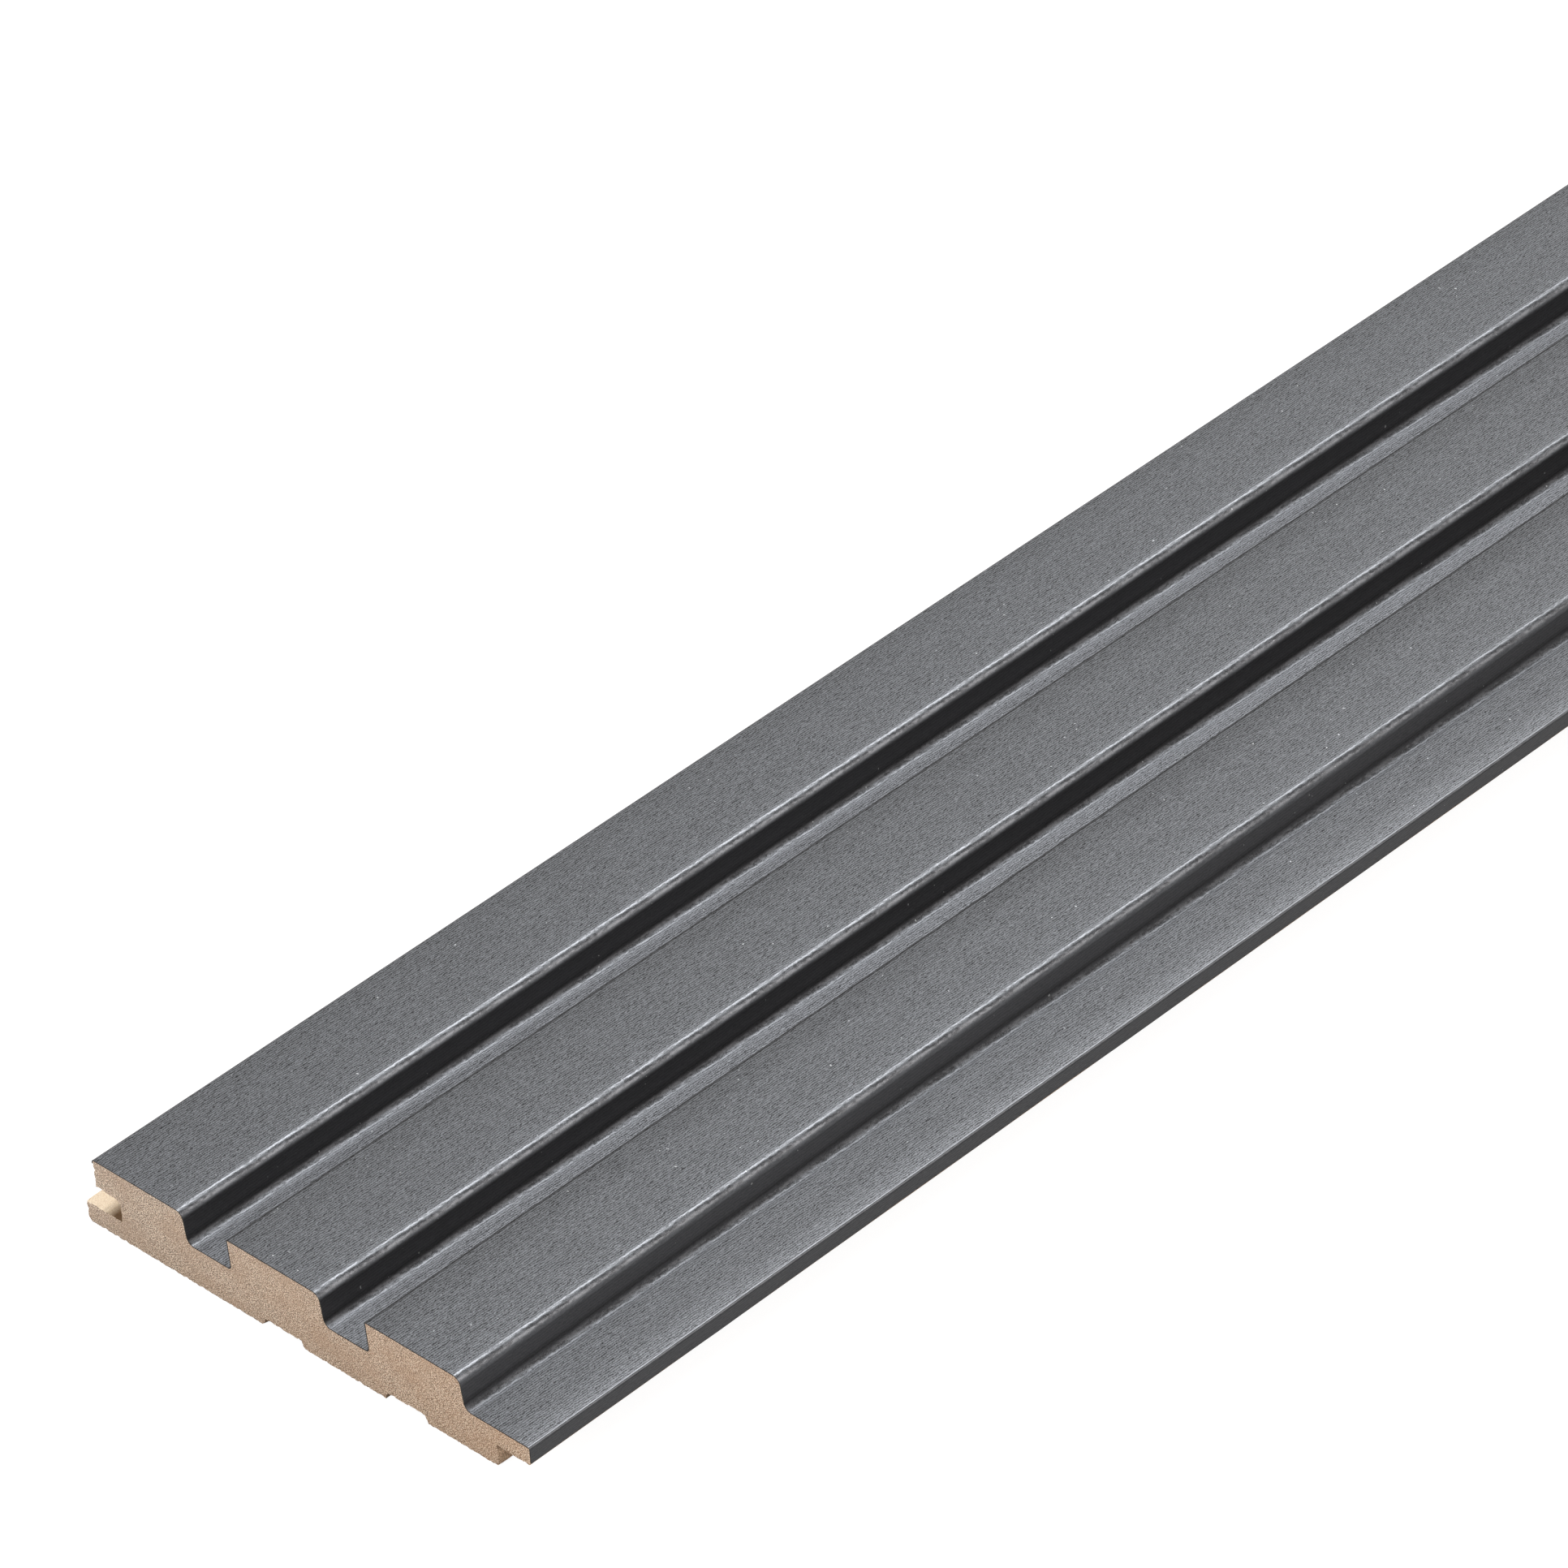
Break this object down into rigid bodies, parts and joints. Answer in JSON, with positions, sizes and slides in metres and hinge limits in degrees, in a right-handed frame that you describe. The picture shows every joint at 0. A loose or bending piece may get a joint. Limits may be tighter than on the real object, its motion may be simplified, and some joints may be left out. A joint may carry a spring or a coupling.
{
  "type": "slat wall panel",
  "caption": "Tongue-and-groove wall panel of milled MDF with raised slats and a grey decor foil over its face, for lining walls.",
  "frame": {"origin": "on the panel's back face, halfway along its length and halfway across its width", "axes": "+X across the panel from the slotted edge to the tongue, +Y along its length, +Z out of its slatted face"},
  "size_m": [0.119, 2.7, 0.0162],
  "materials": {
    "mdf": "raw milled MDF",
    "foil": "satin grey decor foil with a fine embossed grain"
  },
  "bodies": {
    "root": {"mdf_core": "mdf", "foil_face": "foil"}
  },
  "joints": []
}
